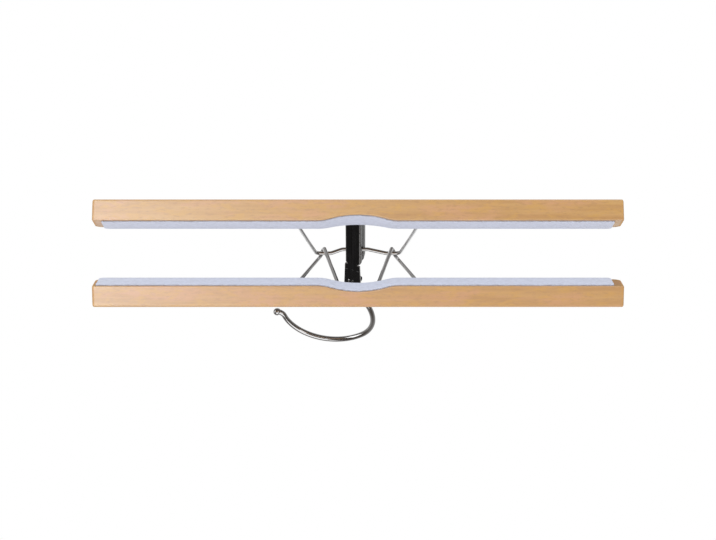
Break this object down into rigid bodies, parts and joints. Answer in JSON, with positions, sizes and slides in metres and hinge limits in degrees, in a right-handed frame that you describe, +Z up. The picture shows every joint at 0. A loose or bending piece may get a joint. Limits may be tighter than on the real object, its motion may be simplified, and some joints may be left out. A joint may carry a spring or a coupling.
{
  "type": "clamp trouser hanger",
  "caption": "Open wooden clamp hanger: felt-lined bars on linked bent wires, a black sheet latch and a swivelling round hook.",
  "frame": {"origin": "the seat inside the hook's bowl, where the rail lies", "axes": "+Z up as the hanger hangs, X along the bars, the front bar at -Y and the rear bar at +Y"},
  "size_m": [0.35, 0.1013, 0.1756],
  "materials": {
    "beech": "satin",
    "lining": "matte",
    "bright_wire": "polished",
    "black_sheet": "gloss",
    "bright_fittings": "satin"
  },
  "bodies": {
    "hook_body": {"hook": "bright_wire", "swivel_washer": "bright_fittings", "stem_collar": "bright_fittings"},
    "latch_body": {"latch": "black_sheet"},
    "front_jaw": {"front_bar": "beech", "front_felt": "lining", "front_frame": "bright_wire"},
    "rear_jaw": {"rear_bar": "beech", "rear_felt": "lining", "rear_frame": "bright_wire"}
  },
  "joints": [
    {"name": "hook_swivel", "type": "hinge", "parent": "hook_body", "child": "latch_body", "pos_m": [0.02132, -0.04196, -0.04997], "axis": [0, 0.6947, 0.7193], "continuous": true},
    {"name": "latch_turn", "type": "hinge", "parent": "latch_body", "child": "front_jaw", "pos_m": [0.02132, -0.06488, -0.07371], "axis": [1, 0, 0], "range_deg": [-44, 50]},
    {"name": "jaw_hinge", "type": "hinge", "parent": "front_jaw", "child": "rear_jaw", "pos_m": [0.02342, -0.06208, -0.07371], "axis": [1, 0, 0], "range_deg": [-23.6, 20]}
  ]
}
